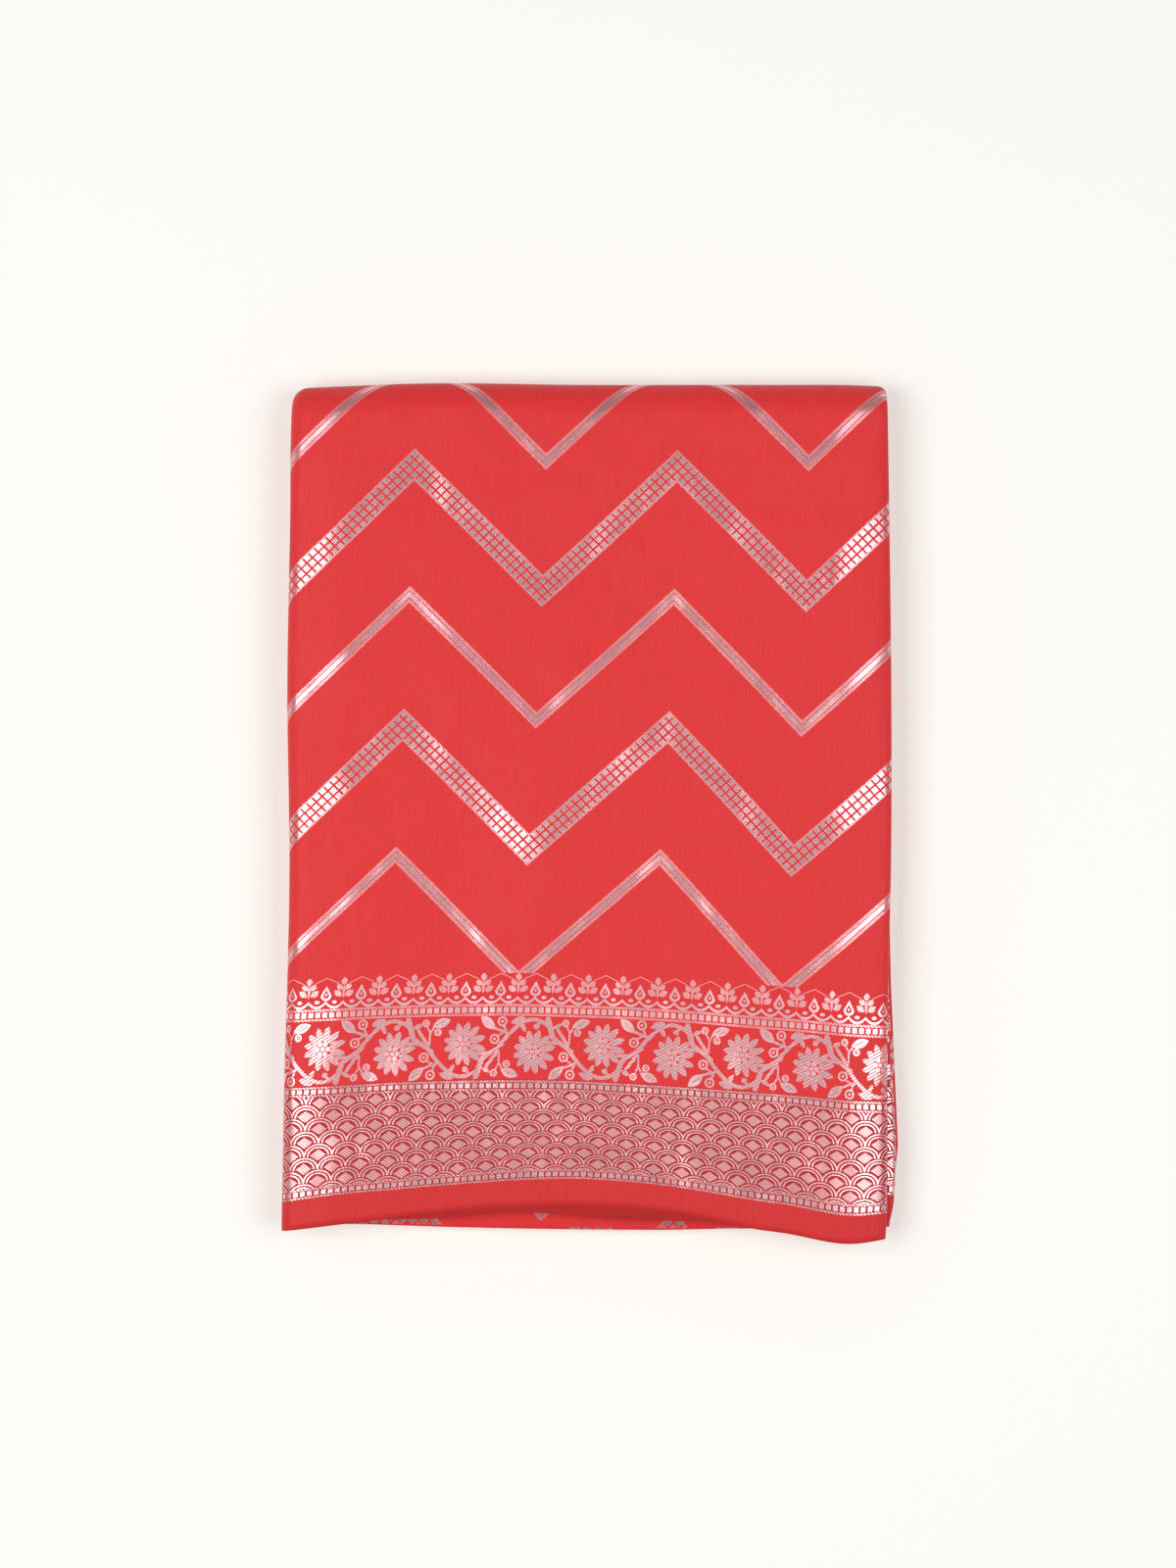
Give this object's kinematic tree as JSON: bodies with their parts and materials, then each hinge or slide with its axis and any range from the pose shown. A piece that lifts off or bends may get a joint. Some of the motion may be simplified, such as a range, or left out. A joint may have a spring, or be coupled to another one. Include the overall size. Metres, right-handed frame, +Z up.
{
  "type": "folded sari",
  "caption": "Red silk sari with woven silver zigzags and a floral border, folded into a flat stack with a rolled top edge.",
  "frame": {"origin": "bottom centre of the box around the folded stack, on the surface it rests on", "axes": "+Z up out of the stack, +Y along the folded width of the cloth towards the rolled edge, -Y towards the border and selvedges, +X to the right as seen from above"},
  "size_m": [0.2068, 0.2874, 0.0197],
  "materials": {
    "silk": "satin red silk with a woven silver zari pattern"
  },
  "bodies": {
    "root": {"sari_cloth": "silk"}
  },
  "joints": []
}
